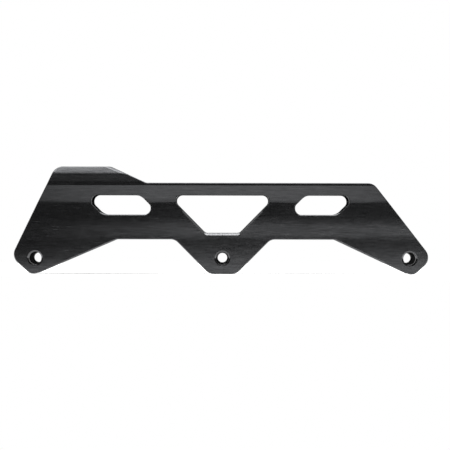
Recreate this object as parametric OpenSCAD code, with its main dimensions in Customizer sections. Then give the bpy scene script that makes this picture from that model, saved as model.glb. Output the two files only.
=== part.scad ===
// Frame of an inline skate for three large wheels: a milled aluminium channel with a raised heel deck,
// pressed-in axle bushes and thread inserts, and a sliding washer under each of the two boot bolts.
// The heel is towards -X, the toe towards +X, and the lower edges of the feet lie at Z = 0.

/* [Wheels and axles] */
// Distance from the rear axle to the front axle
wheelbase = 243; // [225:1:255]
// Diameter of the largest wheel that fits
wheel_d = 110; // [100:1:111]
// Radial gap between the largest wheel and the webs above it
wheel_gap = 2; // [1:0.5:3]
// Depth that the wheel cutter takes off each side of the throat
wheel_cut_in = 0.2; // [0.1:0.05:0.5]
// Height of the axles above the lower edges of the feet
axle_z = 10.2; // [9:0.1:11.5]
// Free width between the sleeves for a wheel and its bearings
hub_gap = 24.4; // [24:0.1:25]

/* [Side outline] */
// Height of the front deck
deck_h = 59.2; // [56:0.1:62]
// Height of the heel deck above the front deck
heel_rise = 10.5; // [10:0.1:14]
// Height of the underside between the feet
belly_h = 22.4; // [20:0.1:25]
// Distance of the heel deck's rear corner in front of the rear axle
heel_rear = 12.9; // [10:0.1:16]
// Length of the heel deck up to its ramp
heel_len = 35.9; // [32:0.1:40]
// Length of the ramp down to the front deck
ramp_len = 23.1; // [18:0.1:28]
// Distance of the front deck's corner behind the front axle
deck_front = 23.5; // [20:0.1:28]
// Reach of the rear nose behind the rear axle
rear_nose_out = 15.5; // [13:0.1:18]
// Height of the rear nose
rear_nose_h = 10.8; // [9:0.1:13]
// Reach of the front nose in front of the front axle
front_nose_out = 14.7; // [13:0.1:18]
// Height of the front nose
front_nose_h = 10; // [8:0.1:13]
// Sole of the rear foot behind the rear axle
rear_sole_back = 3.1; // [1:0.1:5]
// Sole of the rear foot in front of the rear axle
rear_sole_front = 0.2; // [0:0.1:5]
// Sole of the front foot behind the front axle
front_sole_back = 0.2; // [0:0.1:5]
// Sole of the front foot in front of the front axle
front_sole_front = 3.4; // [1:0.1:5]
// Half length of the middle foot's sole
middle_sole = 8.8; // [6:0.1:12]
// Length of each flank of the middle foot
middle_flank = 22.3; // [18:0.1:26]
// Shift of the middle foot towards the toe
middle_shift = 0.25; // [-1:0.05:1]
// Distance from the rear axle to where the belly levels out
rear_rise = 52.4; // [48:0.1:58]
// Distance from the front axle to where the belly levels out
front_rise = 48.2; // [45:0.1:55]
// Rounding of the upper corners at both ends
end_r = 7.3; // [3:0.1:9]
// Rounding of the two noses
nose_r = 7.4; // [4:0.1:9]
// Rounding at the soles of the feet
sole_r = 8.4; // [2:0.1:10]
// Rounding where the feet run into the belly
belly_r = 6.4; // [2:0.1:8]
// Rounding at the top of the ramp
ramp_top_r = 6; // [1:0.5:8]
// Rounding at the foot of the ramp
ramp_foot_r = 5; // [1:0.5:8]
// Distance behind the ramp's top where the facets on its two edges start
facet_back = 3.6; // [2:0.1:7]
// Tilt of the facets towards the sides, in degrees
facet_roll = 28; // [20:1:40]
// Tilt of the facets towards the toe, in degrees
facet_pitch = 14; // [5:1:18]

/* [Cross-section] */
// Thickness of the side walls
wall = 4; // [3:0.1:5]
// Height of the leaning shoulder below the step
shoulder_h = 11.1; // [9:0.1:13]
// Distance that the shoulder leans inwards on each side
shoulder_in = 2.6; // [1.5:0.1:3]
// Rounding of the wall into the leaning shoulder
shoulder_r = 16; // [8:0.5:20]
// Height of the step from the shoulder to the riser, below the front deck
step_drop = 1.7; // [0.5:0.1:2.5]
// Thickness of the riser's side walls
riser_wall = 2.6; // [2:0.1:3]
// Height of the chamfer along each side of the heel deck
chamfer_h = 4.5; // [3:0.1:6]
// Width of the chamfer along each side of the heel deck
chamfer_in = 3; // [2:0.1:4]
// Distance that the channel narrows on each side under the webs
throat_in = 1; // [0.5:0.1:1.5]
// Fillet between the webs and the walls
web_r = 2.5; // [0.5:0.1:3]
// Depth that milling takes off the lower web to make the front deck
deck_milling = 0.6; // [0.3:0.1:1]

/* [Windows] */
// Distance from the lower web down to the upper edges of the windows
window_land = 1.1; // [0.8:0.1:3]
// Height of the two long windows
slot_h = 12.8; // [10:0.1:15]
// Length of the rear long window
rear_slot_len = 38.3; // [30:0.1:42]
// Length of the front long window
front_slot_len = 34.9; // [30:0.1:42]
// Shift of the rear long window from midway between its axles, away from the middle
rear_slot_out = 5.05; // [3:0.05:7]
// Shift of the front long window from midway between its axles, away from the middle
front_slot_out = 3.9; // [3:0.05:7]
// Size of the slanting corners of the long windows
slot_cut = 7; // [4:0.1:8]
// Rounding of the square corners of the long windows
slot_r = 4; // [2:0.1:5]
// Rounding of the slanting corners of the long windows, at their ends
slot_cut_r = 3.2; // [2:0.1:5]
// Rounding of the slanting corners of the long windows, at their long edges
slot_edge_r = 9; // [3:0.1:10]
// Height of the middle window
window_h = 24.7; // [20:0.1:26]
// Length of the middle window's upper edge
window_top_len = 70.8; // [60:0.1:74]
// Length of the middle window's lower edge
window_bottom_len = 22.2; // [16:0.1:28]
// Rounding of the middle window
window_r = 3.8; // [2:0.1:6]
// Depth that the lower edges of the middle window are cut back on the outside
window_bevel = 1.55; // [0.5:0.05:2]
// Slope of that cut, in degrees
window_slope = 45; // [30:1:60]
// Distance below the upper edge where that cut starts
slope_start = 9.1; // [8:0.1:14]

/* [Axle sleeves] */
// Bore of the plain bushes in the near wall
bush_bore = 8.2; // [8:0.1:8.6]
// Bore of the thread inserts in the far wall
insert_bore = 6.2; // [6:0.05:7]
// Thickness of the bushes' wall
sleeve_wall = 1.1; // [0.9:0.05:1.5]
// Interference of the press fit on the radius
press = 0.01; // [0.005:0.005:0.02]
// Flat rim left around the bushes' chamfered mouth
rim = 0.15; // [0.1:0.05:0.4]
// Chamfer at the mouth of the thread inserts
insert_chamfer = 0.95; // [0.5:0.05:1.2]
// Edge break at the inner end of each bore
bore_break = 0.3; // [0.1:0.05:0.5]
// Reach of the flanges around their sleeves
flange_out = 1.3; // [0.8:0.1:2]
// Thickness of the flanges, which keep a wheel's bearings off the walls
flange_t = 1.8; // [1:0.1:2.5]

/* [Boot mount] */
// Distance from the rear axle to the rear boot bolt
rear_mount = 29.75; // [28:0.05:31]
// Distance from the front boot bolt to the front axle
front_mount = 48.25; // [46:0.05:52]
// Width of the bolt slots and bore of the washers
bolt_hole = 6.6; // [6.2:0.1:7]
// Travel of each washer to either side
travel = 3; // [1:0.5:3.5]
// Length of the sliding washers
washer_len = 14; // [12:0.1:15]
// Width of the sliding washers
washer_w = 15.4; // [14:0.1:17]
// Thickness of the sliding washers
washer_t = 1.8; // [1.2:0.1:2]
// Corner rounding of the sliding washers
washer_r = 2; // [0.5:0.1:3]
// Gap around each washer in its groove
slide_gap = 0.3; // [0.2:0.05:0.4]
// Opening between the lips of each groove
lip_opening = 11; // [10.6:0.1:12]
// Thickness of the lips that hold the washers
lip = 1.4; // [1:0.1:1.6]
// Thickness of each deck over its groove
skin = 3; // [2.5:0.1:3.3]
// Diameter of the cutter that opens the lower web below the rear boot bolt
access_d = 12; // [11:0.1:14]

/* [Hidden] */
$fn = 96;

// Overrun that keeps every cut clear of the face it opens
over = 1;
// Angle of one step along a rounded corner
arc_step = 7.5;
// Angle of half a turn
half_turn = 180;
// Largest share of an edge that its two roundings may use
arc_share = 0.99;

// Axle places along X, from the middle axle
rear_axle = -wheelbase / 2;
front_axle = wheelbase / 2;
axles = [rear_axle, 0, front_axle];
wheel_cut_r = wheel_d / 2 + wheel_gap;

// Boot bolts along X, from the middle axle
rear_bolt = rear_axle + rear_mount;
front_bolt = front_axle - front_mount;

// Ramp between the decks, and the size of the blocks that cut its facets
ramp_top = rear_axle + heel_rear + heel_len;
ramp_foot = ramp_top + ramp_len;
facet_span = facet_back + ramp_len;

// Levels of the two decks and their webs, each with a groove for its washer
heel_h = deck_h + heel_rise;
groove_h = washer_t + 2 * slide_gap;
web_t = skin + groove_h + lip;
lower_web = deck_h - web_t;
upper_web = heel_h - web_t;
chamber_floor = deck_h + deck_milling;
window_top = lower_web - window_land;

// Levels on the outside of the cross-section
step_z = deck_h - step_drop;
shoulder_z = step_z - shoulder_h;
chamfer_z = heel_h - chamfer_h;

// Half widths of the cross-section, outwards from the wheel's bearings
hub = hub_gap / 2;
channel = hub + flange_t;
half_w = channel + wall;
frame_w = 2 * half_w;
half_throat = channel - throat_in;
wheel_cut_w = 2 * (half_throat + wheel_cut_in);
half_riser = half_w - shoulder_in;
half_heel = half_riser - chamfer_in;
chamber = half_riser - riser_wall;
groove = washer_w / 2 + slide_gap;

// Diameters of the sleeves
seat_d = bush_bore + 2 * sleeve_wall;
bush_mouth = seat_d - 2 * rim;
insert_mouth = insert_bore + 2 * insert_chamfer;
flange_d = seat_d + 2 * flange_out;

// Side outline, seen from -Y: [x, z, rounding]
side_corners = [
    [rear_axle + heel_rear, heel_h, end_r],
    [rear_axle - rear_nose_out, rear_nose_h, nose_r],
    [rear_axle - rear_sole_back, 0, sole_r],
    [rear_axle + rear_sole_front, 0, sole_r],
    [rear_axle + rear_rise, belly_h, belly_r],
    [middle_shift - middle_sole - middle_flank, belly_h, belly_r],
    [middle_shift - middle_sole, 0, sole_r],
    [middle_shift + middle_sole, 0, sole_r],
    [middle_shift + middle_sole + middle_flank, belly_h, belly_r],
    [front_axle - front_rise, belly_h, belly_r],
    [front_axle - front_sole_back, 0, sole_r],
    [front_axle + front_sole_front, 0, sole_r],
    [front_axle + front_nose_out, front_nose_h, nose_r],
    [front_axle - deck_front, deck_h, end_r],
    [ramp_foot, deck_h, ramp_foot_r],
    [ramp_top, heel_h, ramp_top_r]
];
side_outline = rounded(side_corners);

// The origin lies midway between the two noses
side_xs = [for (p = side_outline) p.x];
middle_x = -(min(side_xs) + max(side_xs)) / 2;
side_len = max(side_xs) - min(side_xs);

// Right half of the cross-section's outside, from the sole upwards: [y, z, rounding]
outer_half = [
    [half_w, -over, 0],
    [half_w, shoulder_z, shoulder_r],
    [half_riser, step_z, 0],
    [half_riser, chamfer_z, 0],
    [half_heel - over * chamfer_in / chamfer_h, heel_h + over, 0]
];
// Right half of the channel that the wheels run in
channel_half = [
    [channel, -2 * over, 0],
    [channel, shoulder_z, 0],
    [half_throat, shoulder_z + throat_in, 0],
    [half_throat, lower_web, web_r]
];
// Right half of the box between the webs
chamber_half = [
    [chamber, chamber_floor, web_r / 2],
    [chamber, upper_web, web_r / 2]
];

// Direction of a vector, with length one
function unit(v) = v / norm(v);

// Angle turned from one heading to another, the short way round
function turn(from, to) = (to - from + 3 * half_turn) % (2 * half_turn) - half_turn;

// Half the angle of the corner at b, between its neighbours a and c
function half_angle(a, b, c) = acos(unit(a - b) * unit(c - b)) / 2;

// Points along the rounding of the corner at b, which starts a given run away from it
function corner_arc(a, b, c, run) =
    let (
        back = unit(a - b),
        ahead = unit(c - b),
        centre = b + unit(back + ahead) * run / cos(half_angle(a, b, c)),
        first = b + back * run - centre,
        last = b + ahead * run - centre,
        start = atan2(first.y, first.x),
        sweep = turn(start, atan2(last.y, last.x)),
        steps = ceil(abs(sweep) / arc_step)
    )
    [for (i = [0:steps])
        centre + norm(first) * [cos(start + sweep * i / steps), sin(start + sweep * i / steps)]];

// Share of their runs that two roundings keep on the edge between them
function kept(edge, run) = run > 0 ? min(1, arc_share * edge / run) : 1;

// Outline with its corners rounded, from a list of [x, y, rounding], where an edge that is
// too short for both its roundings shortens them alike
function rounded(corners) =
    let (
        n = len(corners),
        points = [for (c = corners) [c.x, c.y]],
        edges = [for (i = [0:n - 1]) norm(points[(i + 1) % n] - points[i])],
        runs = [for (i = [0:n - 1])
            corners[i].z / tan(half_angle(points[(i + n - 1) % n], points[i], points[(i + 1) % n]))],
        room = [for (i = [0:n - 1]) kept(edges[i], runs[i] + runs[(i + 1) % n])]
    )
    [for (i = [0:n - 1])
        let (before = (i + n - 1) % n, after = (i + 1) % n)
        each runs[i] > 0
            ? corner_arc(points[before], points[i], points[after], runs[i] * min(room[before], room[i]))
            : [points[i]]];

// Whole outline of a shape that is the same on both sides of the middle plane
function both_sides(half) =
    rounded(concat(half, [for (i = [len(half) - 1:-1:0]) [-half[i].x, half[i].y, half[i].z]]));

// Long window of the rear half, hung from its upper edge, with two opposite corners cut
function slot_corners(length) =
    let (l = length / 2)
    [
        [-l, 0, slot_r], [-l, slot_cut - slot_h, slot_cut_r], [slot_cut - l, -slot_h, slot_edge_r],
        [l, -slot_h, slot_r], [l, -slot_cut, slot_cut_r], [l - slot_cut, 0, slot_edge_r]
    ];

// Middle window, hung from its upper edge and wider there
window_corners = [
    [-window_top_len / 2, 0, window_r], [-window_bottom_len / 2, -window_h, window_r],
    [window_bottom_len / 2, -window_h, window_r], [window_top_len / 2, 0, window_r]
];

// Lower part of the middle window, from where the slopes on its sides start
slope_half = (window_top_len + (window_bottom_len - window_top_len) * slope_start / window_h) / 2;
slope_corners = [
    [-slope_half, -slope_start, 0], [-window_bottom_len / 2, -window_h, window_r],
    [window_bottom_len / 2, -window_h, window_r], [slope_half, -slope_start, 0]
];

// Shape in the YZ plane, drawn out along X
module along_x(length) {
    rotate([90, 0, 90]) linear_extrude(length, center = true) children();
}

// Shape in the XZ plane, drawn out along Y
module across_y(width) {
    rotate([90, 0, 0]) linear_extrude(width, center = true) children();
}

// Groove under a web, narrower between its lips, drawn from the web's lower face upwards
module washer_groove(z) {
    translate([-lip_opening / 2, z - over]) square([lip_opening, over + lip + groove_h]);
    translate([-groove, z + lip]) square([2 * groove, groove_h]);
}

// Cross-section that the frame is extruded with
module section() {
    difference() {
        polygon(both_sides(outer_half));
        polygon(both_sides(channel_half));
        polygon(both_sides(chamber_half));
        washer_groove(lower_web);
        washer_groove(upper_web);
    }
}

// The three windows through both walls
module windows() {
    translate([0, 0, window_top]) across_y(frame_w + 2 * over) {
        translate([rear_axle / 2 - rear_slot_out, 0]) polygon(rounded(slot_corners(rear_slot_len)));
        translate([front_axle / 2 + front_slot_out, 0])
            mirror([1, 0]) polygon(rounded(slot_corners(front_slot_len)));
        polygon(rounded(window_corners));
    }
}

// Tilted copy of the middle window's lower part, which slopes its edges on the outside of the walls
module window_slopes() {
    tilted = [for (p = rounded(slope_corners)) [p.x, p.y * cos(window_slope)]];
    reach = (window_h * sin(window_slope) * cos(window_slope) + window_bevel + over) / cos(window_slope);
    for (side = [0, 1]) mirror([0, side, 0])
        translate([0, window_bevel - half_w, window_top])
            rotate([90 + window_slope, 0, 0]) linear_extrude(reach) polygon(tilted);
}

// Facets that take off the corners between the ramp and the heel deck's chamfers
module ramp_facets() {
    for (side = [0, 1]) mirror([0, side, 0])
        translate([ramp_top - facet_back, -half_heel, heel_h])
            rotate([facet_roll, facet_pitch, 0])
                translate([-facet_span, -facet_span, 0]) cube([2 * facet_span, 2 * facet_span, facet_span]);
}

// Upright slot of a given width along X, with round ends, from z upwards
module long_hole(width, reach, z, height) {
    for (side = [-1, 1]) translate([side * reach, 0, z]) cylinder(d = width, h = height);
    translate([-reach, -width / 2, z]) cube([2 * reach, width, height]);
}

// Milled and drilled channel that everything else sits in
module frame_extrusion() {
    color("#1c1c1e")
    translate([middle_x, 0, 0])
    difference() {
        intersection() {
            along_x(2 * side_len) section();
            across_y(frame_w + 2 * over) polygon(side_outline);
        }
        windows();
        window_slopes();
        ramp_facets();
        for (x = axles) translate([x, 0, axle_z]) rotate([90, 0, 0]) {
            cylinder(r = wheel_cut_r, h = wheel_cut_w, center = true);
            cylinder(d = seat_d, h = frame_w + 2 * over, center = true);
        }
        translate([front_bolt, 0, 0])
            long_hole(bolt_hole, travel, deck_h - skin - slide_gap, skin + slide_gap + over);
        translate([rear_bolt, 0, 0]) {
            long_hole(bolt_hole, travel, heel_h - skin - slide_gap, skin + slide_gap + over);
            long_hole(access_d, travel, lower_web - over, chamber_floor - lower_web + 2 * over);
        }
    }
}

// Flanged sleeve with its axis along Z and its mouth upwards, level with the wall's outer face
module sleeve(bore, mouth) {
    rotate_extrude() polygon([
        [bore / 2 + bore_break, hub],
        [flange_d / 2, hub],
        [flange_d / 2, channel],
        [seat_d / 2 + press, channel],
        [seat_d / 2 + press, half_w],
        [mouth / 2, half_w],
        [bore / 2, half_w - (mouth - bore) / 2],
        [bore / 2, hub + bore_break]
    ]);
}

// Plain bush in the near wall, which the axle passes through
module axle_bush(x) {
    color("#2b2b2e")
    translate([middle_x + x, 0, axle_z]) rotate([90, 0, 0]) sleeve(bush_bore, bush_mouth);
}

// Thread insert in the far wall, which the axle screws into
module axle_insert(x) {
    color("#3a3a3d")
    translate([middle_x + x, 0, axle_z]) rotate([-90, 0, 0]) sleeve(insert_bore, insert_mouth);
}

// Washer that slides in a web's groove and takes a boot bolt from below
module mount_washer(x, web) {
    l = washer_len / 2;
    w = washer_w / 2;
    color("silver")
    translate([middle_x + x, 0, web + lip + slide_gap])
    difference() {
        linear_extrude(washer_t)
            polygon(rounded([[-l, -w, washer_r], [l, -w, washer_r], [l, w, washer_r], [-l, w, washer_r]]));
        translate([0, 0, -over]) cylinder(d = bolt_hole, h = washer_t + 2 * over);
    }
}

module axle_bush_rear() { axle_bush(rear_axle); }
module axle_bush_middle() { axle_bush(0); }
module axle_bush_front() { axle_bush(front_axle); }
module axle_insert_rear() { axle_insert(rear_axle); }
module axle_insert_middle() { axle_insert(0); }
module axle_insert_front() { axle_insert(front_axle); }
module mount_washer_rear() { mount_washer(rear_bolt, upper_web); }
module mount_washer_front() { mount_washer(front_bolt, lower_web); }

frame_extrusion();
axle_bush_rear();
axle_bush_middle();
axle_bush_front();
axle_insert_rear();
axle_insert_middle();
axle_insert_front();
mount_washer_rear();
mount_washer_front();
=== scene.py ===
import math

import bmesh
import bpy
from mathutils import Matrix, Vector


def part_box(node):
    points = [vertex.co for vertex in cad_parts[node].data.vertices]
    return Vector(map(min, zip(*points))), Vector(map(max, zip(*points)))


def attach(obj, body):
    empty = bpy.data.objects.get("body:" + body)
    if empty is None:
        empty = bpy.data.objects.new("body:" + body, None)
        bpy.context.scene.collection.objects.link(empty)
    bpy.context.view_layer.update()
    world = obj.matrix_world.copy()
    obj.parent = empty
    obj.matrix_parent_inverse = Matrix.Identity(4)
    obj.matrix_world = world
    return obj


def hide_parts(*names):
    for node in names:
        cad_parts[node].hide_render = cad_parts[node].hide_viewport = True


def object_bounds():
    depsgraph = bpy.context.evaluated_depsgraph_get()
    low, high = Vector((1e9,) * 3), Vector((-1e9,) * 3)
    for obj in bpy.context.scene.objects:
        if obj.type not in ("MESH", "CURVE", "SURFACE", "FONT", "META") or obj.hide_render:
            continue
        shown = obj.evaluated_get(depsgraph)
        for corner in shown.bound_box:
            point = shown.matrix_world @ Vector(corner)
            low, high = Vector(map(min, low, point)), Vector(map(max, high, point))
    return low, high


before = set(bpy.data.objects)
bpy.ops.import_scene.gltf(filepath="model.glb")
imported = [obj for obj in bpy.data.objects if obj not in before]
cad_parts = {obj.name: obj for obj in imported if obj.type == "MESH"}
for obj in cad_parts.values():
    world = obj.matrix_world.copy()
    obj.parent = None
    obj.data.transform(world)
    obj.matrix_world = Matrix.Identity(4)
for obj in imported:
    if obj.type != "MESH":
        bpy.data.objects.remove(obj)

mm = 0.001
white = (1, 1, 1, 1)
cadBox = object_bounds()
scene = bpy.context.scene
scene.view_settings.view_transform = "Standard"
print("solids loaded:", len(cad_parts))

# camera: level with the middle of the part, far off, aimed square at the near wall
photo = {
    "pixels": 450,
    "mmPerPixel": 0.6485,       # on the near wall
    "distance": 1500 * mm,      # from the near wall
    "aimX": 2.55 * mm,
    "aimZ": 31.8 * mm,
    "roll": 0.0021,             # right side a little lower
    "sensor": 36.0,
    "clip": (0.01, 50.0),
}


def addCamera():
    lens = bpy.data.cameras.new("camera")
    lens.sensor_fit = "HORIZONTAL"
    lens.sensor_width = photo["sensor"]
    lens.lens = photo["sensor"] * photo["distance"] / (photo["mmPerPixel"] * mm * photo["pixels"])
    lens.clip_start, lens.clip_end = photo["clip"]
    camera = bpy.data.objects.new("camera", lens)
    scene.collection.objects.link(camera)
    place = Vector((photo["aimX"], cadBox[0].y - photo["distance"], photo["aimZ"]))
    turn = Matrix.Rotation(-photo["roll"], 4, "Y") @ Matrix.Rotation(math.pi / 2, 4, "X")
    camera.matrix_world = Matrix.Translation(place) @ turn
    scene.camera = camera


addCamera()
print("camera set")


# a socket that can be used in sums; node() makes every node
class Wire:
    def __init__(self, tree, socket=None):
        self.tree = tree
        self.socket = socket

    def node(self, kind, settings, inputs, out=0):
        made = self.tree.nodes.new("ShaderNode" + kind)
        for key, value in settings.items():
            if key == "stops":
                ramp = made.color_ramp.elements
                while len(ramp) < len(value):
                    ramp.new(0.5)
                for stop, (place, level) in zip(ramp, value):
                    stop.position = place
                    stop.color = (level, level, level, 1)
            elif key == "blending":
                made.color_ramp.interpolation = value
            else:
                setattr(made, key, value)
        for key, value in inputs.items():
            if isinstance(value, Wire):
                self.tree.links.new(value.socket, made.inputs[key])
            else:
                made.inputs[key].default_value = value
        return Wire(self.tree, made.outputs[out] if len(made.outputs) else None)

    def sum(self, operation, first, second):
        return self.node("Math", {"operation": operation}, {0: first, 1: second})

    def __add__(self, other):
        return self.sum("ADD", self, other)

    def __radd__(self, other):
        return self.sum("ADD", other, self)

    def __sub__(self, other):
        return self.sum("SUBTRACT", self, other)

    def __rsub__(self, other):
        return self.sum("SUBTRACT", other, self)

    def __mul__(self, other):
        return self.sum("MULTIPLY", self, other)

    def __rmul__(self, other):
        return self.sum("MULTIPLY", other, self)

    def __gt__(self, other):
        return self.sum("GREATER_THAN", self, other)

    def __abs__(self):
        return self.node("Math", {"operation": "ABSOLUTE"}, {0: self})


def greater(first, second):
    return first.sum("MAXIMUM", first, second)


def along(vector, axis):
    return vector.node("SeparateXYZ", {}, {"Vector": vector}, axis)


# 6, 7 and 2 are the sockets that Mix has for colours
def tint(amount, low, high):
    low, high = (c if isinstance(c, Wire) else (*c, 1) for c in (low, high))
    return amount.node("Mix", {"data_type": "RGBA"}, {0: amount, 6: low, 7: high}, 2)


def stretched(place, size, detail=2.0, roughness=0.6):
    scale = tuple(1 / s for s in size)
    scaled = place.node("Mapping", {"vector_type": "POINT"}, {"Vector": place, "Scale": scale})
    return place.node("TexNoise", {},
                      {"Vector": scaled, "Scale": 1.0, "Detail": detail, "Roughness": roughness})


def bump(height, distance, **more):
    return height.node("Bump", {}, {"Strength": 1.0, "Distance": distance, "Height": height, **more})


def emptyTree(owner):
    owner.use_nodes = True
    owner.node_tree.nodes.clear()
    return Wire(owner.node_tree)


def newMaterial(name):
    material = bpy.data.materials.new(name)
    return material, emptyTree(material)


def finishMetal(paint, colour, roughness, normal, edgeTint=white):
    surface = paint.node("BsdfPrincipled", {}, {
        "Metallic": 1.0,
        "Specular Tint": edgeTint,
        "Base Color": colour,
        "Roughness": roughness,
        "Normal": normal,
    })
    paint.node("OutputMaterial", {}, {"Surface": surface})


# black anodised aluminium, brushed lengthwise
brushed = {
    "dark": (0.055, 0.0557, 0.058),
    "light": (0.178, 0.1805, 0.1865),
    "roughness": 0.22,
    "roughnessSpread": 0.07,
    "edgeTint": (0.4, 0.4, 0.4, 1),
    # length, depth and height of the streaks, and the share of each kind in the pattern
    "fine": (9.7 * mm, 0.71 * mm, 0.69 * mm),
    "hair": (6.1 * mm, 0.83 * mm, 0.57 * mm),
    "broad": (70 * mm, 4 * mm, 2.4 * mm),
    "shares": (0.85, 0.75, 0.15),
    "darkest": 0.375,
    "bump": 0.0025 * mm,
    # painted shade where it isn't brushed: inside the wheel channel and on milled faces the colour is darkened
    # to stand for their shade, and the finish is matt
    "paintedShadeUnbrushed": (0.03, 0.03, 0.032),
    "unbrushedRoughness": 0.36,
    "insideHalf": 14.05 * mm,
    "insideTop": 53 * mm,
    # paler on broken edges and on the slopes of the middle window
    "paleEdge": (0.215, 0.217, 0.222),
    # how far a face looks sideways: past the milled ones, on the walls, and on their flats
    "milled": 0.15,
    "wall": 0.93,
    "flatWall": 0.995,
    # gentle waves of the drawn walls: height, and how far the surface leans up (+) or down (-)
    "waves": [(2.4, -0.01), (14.4, 0.0), (20.4, 0.012), (26.4, -0.06), (30, -0.07), (41, 0.0), (45, 0.0),
              (57.6, 0.03), (59.4, 0.03), (60.6, 0.1), (64, 0.1), (65.2, 0.03)],
    "wavesTop": 70 * mm,
}


def makeBrushed():
    material, paint = newMaterial("blackAnodised")
    place = paint.node("TexCoord", {}, {}, "Object")
    facing = paint.node("NewGeometry", {}, {}, "Normal")
    sideways = abs(along(facing, "Y"))
    rise = along(place, "Z")
    fine, hair, broad = (stretched(place, brushed[kind]) for kind in ("fine", "hair", "broad"))
    fineShare, hairShare, broadShare = brushed["shares"]
    streaks = fine * fineShare + hair * hairShare + broad * broadShare - brushed["darkest"]

    outside = abs(along(place, "Y")) > brushed["insideHalf"]
    above = rise > brushed["insideTop"]
    unmilled = sideways > brushed["milled"]
    # painted shade: faces inside the channel and milled faces below the deck get a darker colour that stands
    # for their shade
    skinClearOfPaintedShade = greater(outside * unmilled, above)
    paleEdge = (unmilled - (sideways > brushed["wall"])) * (1 - above)
    streaked = tint(streaks, brushed["dark"], brushed["light"])
    colour = tint(skinClearOfPaintedShade, brushed["paintedShadeUnbrushed"], tint(paleEdge, streaked, brushed["paleEdge"]))
    smoother = brushed["roughness"] - brushed["unbrushedRoughness"]
    roughness = streaks * brushed["roughnessSpread"] + skinClearOfPaintedShade * smoother + brushed["unbrushedRoughness"]

    # a ramp can't go below 0, so the leans are kept about its middle
    level = 0.5
    stops = [(z * mm / brushed["wavesTop"], level + lean) for z, lean in brushed["waves"]]
    lean = paint.node("ValToRGB", {"blending": "EASE", "stops": stops}, {0: rise * (1 / brushed["wavesTop"])})
    leaning = paint.node("CombineXYZ", {}, {"Z": (lean - level) * (sideways > brushed["flatWall"])})
    crowned = paint.node("VectorMath", {"operation": "ADD"}, {0: facing, 1: leaning})
    unit = paint.node("VectorMath", {"operation": "NORMALIZE"}, {0: crowned})
    finishMetal(paint, colour, roughness, bump(fine, brushed["bump"], Normal=unit), brushed["edgeTint"])
    return material


# turned metal, with fine rings about its own axis
turned = {
    "ring": 0.12 * mm,
    "along": 0.3 * mm,
    "detail": 3.0,
    "roughnessSpread": 0.08,
    "bump": 0.002 * mm,
    "paintedShadeDeep": (0.02, 0.02, 0.021),
    "edgeTint": (0.4, 0.4, 0.4, 1),
}
blackBush = {
    "dark": (0.12, 0.12, 0.125),
    "light": (0.17, 0.17, 0.175),
    "roughness": 0.12,
    "paintedShadeUpTo": 17.33 * mm,       # from the middle plane; painted shade further in, with a rougher finish
    "deepRoughness": 0.25,
}
blackenedSteel = {
    "dark": (0.1, 0.097, 0.094),
    "light": (0.17, 0.165, 0.16),
    "roughness": 0.26,
    "paintedShadeUpTo": 13 * mm,
    "deepRoughness": 0.6,
}


def makeTurned(name, axis, finish):
    material, paint = newMaterial(name)
    place = paint.node("TexCoord", {}, {}, "Object")
    centred = paint.node("Mapping", {"vector_type": "POINT"},
                         {"Vector": place, "Location": (-axis.x, 0, -axis.z)})
    flat = paint.node("VectorMath", {"operation": "MULTIPLY"}, {0: centred, 1: (1, 0, 1)})
    radius = paint.node("VectorMath", {"operation": "LENGTH"}, {0: flat}, "Value")
    depth = along(place, "Y")
    lathe = paint.node("CombineXYZ", {},
                       {"X": radius * (1 / turned["ring"]), "Y": depth * (1 / turned["along"])})
    rings = paint.node("TexNoise", {"noise_dimensions": "2D"},
                       {"Vector": lathe, "Scale": 1.0, "Detail": turned["detail"]})
    # painted shade: the part of the sleeve nearer the middle plane gets a darker colour that stands for the
    # shade deep in the bore
    clearOfPaintedShade = abs(depth) > finish["paintedShadeUpTo"]
    colour = tint(clearOfPaintedShade, turned["paintedShadeDeep"], tint(rings, finish["dark"], finish["light"]))
    smoother = finish["roughness"] - finish["deepRoughness"]
    roughness = rings * turned["roughnessSpread"] + clearOfPaintedShade * smoother + finish["deepRoughness"]
    finishMetal(paint, colour, roughness, bump(rings, turned["bump"]), turned["edgeTint"])
    return material


# zinc-plated washers: cool silver with a cloudy bloom
zinc = {
    "dark": (0.46, 0.47, 0.5),
    "light": (0.63, 0.63, 0.62),
    "cloud": 2.2 * mm,
    "cloudDetail": 3.0,
    "grain": 0.25 * mm,
    "roughness": 0.26,
    "roughnessSpread": 0.18,
    "bump": 0.002 * mm,
}


def makeZinc():
    material, paint = newMaterial("zincPlate")
    place = paint.node("TexCoord", {}, {}, "Object")
    cloud = stretched(place, (zinc["cloud"],) * 3, zinc["cloudDetail"])
    grain = stretched(place, (zinc["grain"],) * 3)
    colour = tint(cloud, zinc["dark"], zinc["light"])
    roughness = grain * zinc["roughnessSpread"] + zinc["roughness"]
    finishMetal(paint, colour, roughness, bump(grain, zinc["bump"]))
    return material


# how a solid becomes a mesh: what is merged, which edges are broken, and which are shaded smooth
edges = {
    "merge": 0.0005 * mm,
    "flat": math.radians(0.5),
    "corner": math.radians(14),     # edges sharper than this are broken,
    "fin": math.radians(100),       # and those sharper than this are left
    "smooth": math.radians(13),
    "valley": math.radians(10),     # inner corners deeper than this stay crisp
    "segments": 3,
}


def cadShape(node):
    shape = bmesh.new()
    shape.from_mesh(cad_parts[node].data)
    bmesh.ops.remove_doubles(shape, verts=shape.verts, dist=edges["merge"])
    bmesh.ops.dissolve_limit(shape, angle_limit=edges["flat"], verts=shape.verts, edges=shape.edges)
    return shape


def roundOff(shape, corners, width, clamp):
    bmesh.ops.bevel(shape, geom=corners, offset=width, offset_type="OFFSET", segments=edges["segments"],
                    profile=0.5, affect="EDGES", clamp_overlap=clamp, material=-1)


def breakEdges(shape, width, wanted):
    corners = [e for e in shape.edges
               if e.is_manifold and edges["corner"] < e.calc_face_angle_signed(0) < edges["fin"] and wanted(e)]
    roundOff(shape, corners, width, False)
    return len(corners)


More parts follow.
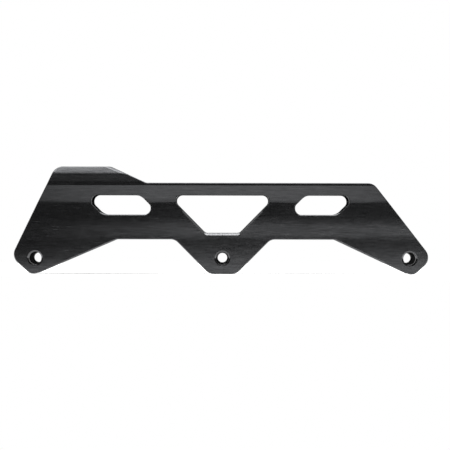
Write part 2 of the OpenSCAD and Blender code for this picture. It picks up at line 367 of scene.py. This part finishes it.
def addPiece(name, shape, node, body, material):
    for face in shape.faces:
        face.smooth = True
    for edge in shape.edges:
        turn = edge.calc_face_angle_signed(0)
        edge.smooth = edge.is_manifold and -edges["valley"] < turn < edges["smooth"]
    mesh = bpy.data.meshes.new(name)
    shape.to_mesh(mesh)
    shape.free()
    mesh.materials.append(material)
    piece = bpy.data.objects.new(name, mesh)
    scene.collection.objects.link(piece)
    weighted = piece.modifiers.new("evenShading", "WEIGHTED_NORMAL")
    weighted.keep_sharp = True
    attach(piece, body)
    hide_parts(node)


# the channel: a copy of the solid with its outer edges broken
channel = {
    "edgeBreak": 0.5 * mm,
    "windowBreak": 0.7 * mm,
    "windows": (88 * mm, 26 * mm, 52 * mm),     # half length, lower and upper limit
    "wall": cadBox[1].y,        # outer face, from the middle plane
    "outside": 13.6 * mm,       # edges nearer to the middle plane are left,
    "deckTop": 58.5 * mm,       # unless they are above this
    "seatClear": 6.2 * mm,      # edges this close to an axle are left for the sleeves
    "sliver": 0.001 * mm,
}
axles = {name: (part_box("axle_bush_" + name)[0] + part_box("axle_bush_" + name)[1]) / 2
         for name in ("rear", "middle", "front")}


def outerEdge(edge):
    middle = (edge.verts[0].co + edge.verts[1].co) / 2
    for axle in axles.values():
        if math.hypot(middle.x - axle.x, middle.z - axle.z) < channel["seatClear"]:
            return False
    return all(abs(v.co.y) > channel["outside"] or v.co.z > channel["deckTop"] for v in edge.verts)


def windowEdge(edge):
    reach, low, high = channel["windows"]
    return outerEdge(edge) and all(abs(v.co.x) < reach and low < v.co.z < high for v in edge.verts)


def makeChannel():
    shape = cadShape("frame_extrusion")
    count = breakEdges(shape, channel["windowBreak"], windowEdge)
    count += breakEdges(shape, channel["edgeBreak"], lambda edge: outerEdge(edge) and not windowEdge(edge))
    # breaks that meet can stand out of the wall or leave slivers
    for corner in shape.verts:
        corner.co.y = max(-channel["wall"], min(channel["wall"], corner.co.y))
    bmesh.ops.remove_doubles(shape, verts=shape.verts, dist=channel["sliver"])
    bmesh.ops.triangulate(shape, faces=[f for f in shape.faces if len(f.verts) > 4], ngon_method="BEAUTY")
    bmesh.ops.dissolve_degenerate(shape, edges=shape.edges, dist=channel["sliver"])
    print("channel:", count, "edges broken,", len(shape.faces), "faces")
    addPiece("channelBody", shape, "frame_extrusion", "frame", makeBrushed())


makeChannel()

# sleeves pressed into the walls, turned on a lathe: radii, and distances from the middle plane
sleeves = {
    "flange": (6.5 * mm, 12.2 * mm),
    "seat": (5.21 * mm, 14 * mm),
    "innerBreak": 0.3 * mm,
    "edgeBreak": 0.12 * mm,
    "sharp": math.radians(30),  # edges sharper than this are broken,
    "margin": 0.03 * mm,        # unless they are this close to the bore or the wall's face
    "around": 96,
    "bushBore": 4.1 * mm,
    "bushMouth": 5.05 * mm,
    "mouthDepth": 0.68,         # share of its width
    "insertBore": 3.5 * mm,     # at the bottom of the thread
    "insertMouth": 4.4 * mm,
}
thread = {
    "crest": 3.1 * mm,
    "pitch": 1.0 * mm,
    "flank": 0.44,              # shares of the pitch: half of the ridge,
    "flat": 0.1,                # and half of its crest
    "sunk": 0.05 * mm,          # how far the ridge goes into the sleeve
    "steps": 48,
}


def closedLoop(shape, points, axle):
    corners = [shape.verts.new((axle.x + r, y, axle.z)) for r, y in points]
    for first, second in zip(corners, corners[1:] + corners[:1]):
        shape.edges.new((first, second))


def spinLoop(shape, axle, angle, steps, **more):
    bmesh.ops.spin(shape, geom=shape.verts[:] + shape.edges[:], cent=(axle.x, 0, axle.z), axis=(0, 1, 0),
                   angle=angle, steps=steps, **more)


def latheSleeve(axle, side, bore, mouth):
    flangeR, hub = sleeves["flange"]
    seatR, ledge = sleeves["seat"]
    wall = channel["wall"]
    throat = wall - (mouth - bore) * sleeves["mouthDepth"]
    outline = [
        (bore + sleeves["innerBreak"], hub), (flangeR, hub), (flangeR, ledge), (seatR, ledge), (seatR, wall),
        (mouth, wall), (bore, throat), (bore, hub + sleeves["innerBreak"]),
    ]
    shape = bmesh.new()
    closedLoop(shape, [(r, side * y) for r, y in outline], axle)
    spinLoop(shape, axle, 2 * math.pi, sleeves["around"], use_merge=True)
    bmesh.ops.remove_doubles(shape, verts=shape.verts, dist=edges["merge"])
    bmesh.ops.recalc_face_normals(shape, faces=shape.faces)
    rings = [e for e in shape.edges if e.calc_face_angle_signed(0) > sleeves["sharp"]
             and math.hypot(e.verts[0].co.x - axle.x, e.verts[0].co.z - axle.z) > bore + sleeves["margin"]
             and abs(e.verts[0].co.y) < wall - sleeves["margin"]]
    roundOff(shape, rings, sleeves["edgeBreak"], True)
    return shape


def cutThread(shape, axle, side):
    crest, root = thread["crest"], sleeves["insertBore"] + thread["sunk"]
    flank, flat = thread["flank"] * thread["pitch"], thread["flat"] * thread["pitch"]
    start = sleeves["flange"][1] + sleeves["innerBreak"]
    end = channel["wall"] - (sleeves["insertMouth"] - sleeves["insertBore"])
    run = end - start - 2 * flank
    turns = run / thread["pitch"]
    steps = round(turns * thread["steps"])
    tooth = [(root, 0), (crest, flank - flat), (crest, flank + flat), (root, 2 * flank)]
    ridge = bmesh.new()
    closedLoop(ridge, [(r, side * (start + y)) for r, y in tooth], axle)
    spinLoop(ridge, axle, 2 * math.pi * turns, steps, dvec=(0, side * run / steps, 0))
    bmesh.ops.holes_fill(ridge, edges=[e for e in ridge.edges if e.is_boundary])
    bmesh.ops.recalc_face_normals(ridge, faces=ridge.faces)
    helix = bpy.data.meshes.new("helix")
    ridge.to_mesh(helix)
    ridge.free()
    shape.from_mesh(helix)
    bpy.data.meshes.remove(helix)


def makeSleeves():
    for place, axle in axles.items():
        bush = latheSleeve(axle, -1, sleeves["bushBore"], sleeves["bushMouth"])
        black = makeTurned("turnedBlack_" + place, axle, blackBush)
        addPiece("bush_" + place, bush, "axle_bush_" + place, "frame", black)
        insert = latheSleeve(axle, 1, sleeves["insertBore"], sleeves["insertMouth"])
        cutThread(insert, axle, 1)
        steel = makeTurned("blackenedSteel_" + place, axle, blackenedSteel)
        addPiece("threadInsert_" + place, insert, "axle_insert_" + place, "frame", steel)
    print("sleeves turned")


makeSleeves()

# washers that slide under the decks
washers = {"edgeBreak": 0.25 * mm}


def makeWashers():
    plate = makeZinc()
    for place in ("rear", "front"):
        shape = cadShape("mount_washer_" + place)
        breakEdges(shape, washers["edgeBreak"], lambda edge: True)
        addPiece("washer_" + place, shape, "mount_washer_" + place, place + "_washer", plate)
    print("washers made")


makeWashers()

# a pale floor, with its front edge close to the part so that little of it shows in the near wall
ground = {
    "outline": [(-1.2, -0.08), (-0.14, -0.08), (-0.02, -0.18), (1.2, -0.18), (1.2, 0.4), (-1.2, 0.4)],
    "colour": (0.9, 0.9, 0.9, 1),
    "glow": 0.5,
    "bounce": 0.2,      # the part of it that reflections see
}


def seenRay(paint):
    cameraRay = paint.node("LightPath", {}, {}, "Is Camera Ray")
    throughRay = paint.node("LightPath", {}, {}, "Is Transmission Ray")
    return cameraRay + throughRay


def addFloor():
    shape = bmesh.new()
    shape.faces.new([shape.verts.new((x, y, 0)) for x, y in ground["outline"]])
    mesh = bpy.data.meshes.new("floor")
    shape.to_mesh(mesh)
    shape.free()
    floor = bpy.data.objects.new("floor", mesh)
    scene.collection.objects.link(floor)
    material, paint = newMaterial("paleFloor")
    glossyRay = paint.node("LightPath", {}, {}, "Is Glossy Ray")
    level = seenRay(paint) * ground["glow"] + glossyRay * ground["bounce"]
    diffuse = paint.node("BsdfDiffuse", {}, {"Color": ground["colour"]})
    glow = paint.node("Emission", {}, {"Color": white, "Strength": level})
    both = paint.node("AddShader", {}, {0: diffuse, 1: glow})
    paint.node("OutputMaterial", {}, {"Surface": both})
    mesh.materials.append(material)


addFloor()

# a large soft box overhead, and a small weak one in front and above
lamps = {
    "topBox": {
        "at": (0.05, 0.175, 0.95),
        "aim": (0.05, 0.1751, 0.0),
        "size": (0.9, 1.0),
        "watts": 12.0,
    },
    "frontBox": {
        "at": (0.015, -1.0, 0.62),
        "aim": (0.015, 0.0, 0.03),
        "size": (0.42, 0.5),
        "watts": 0.53,
    },
}


def addLamps():
    for name, lamp in lamps.items():
        light = bpy.data.lights.new(name, "AREA")
        light.shape = "RECTANGLE"
        light.size, light.size_y = lamp["size"]
        light.energy = lamp["watts"]
        holder = bpy.data.objects.new(name, light)
        scene.collection.objects.link(holder)
        holder.location = lamp["at"]
        aim = Vector(lamp["aim"]) - Vector(lamp["at"])
        holder.rotation_euler = aim.to_track_quat("-Z", "Y").to_euler()


addLamps()

# a white studio that is dark on the near side and overhead: metal reflects the white of the far side,
# and the camera, and what is seen through glass, has it white all round
surroundings = {
    "white": 1.0,
    "dark": 0.06,
    "near": (-0.3, 0.05),       # from dark to white, going away from the camera
    "overhead": (0.2, 1.0),     # from white to dark, going up
}


def fade(level, limits, first, last):
    return level.node("MapRange", {"interpolation_type": "SMOOTHSTEP"}, {
        "Value": level,
        "From Min": limits[0],
        "From Max": limits[1],
        "To Min": first,
        "To Max": last,
    })


def addWorld():
    world = bpy.data.worlds.new("studio")
    scene.world = world
    paint = emptyTree(world)
    way = paint.node("TexCoord", {}, {}, "Generated")
    away = fade(along(way, "Y"), surroundings["near"], 0.0, 1.0)
    low = fade(along(way, "Z"), surroundings["overhead"], 1.0, 0.0)
    share = greater(seenRay(paint), away * low)
    darkSide, whiteSide = (paint.node("Background", {}, {"Color": white, "Strength": surroundings[side]})
                           for side in ("dark", "white"))
    mixed = paint.node("MixShader", {}, {0: share, 1: darkSide, 2: whiteSide})
    paint.node("OutputWorld", {}, {"Surface": mixed})


addWorld()
print("stage set")
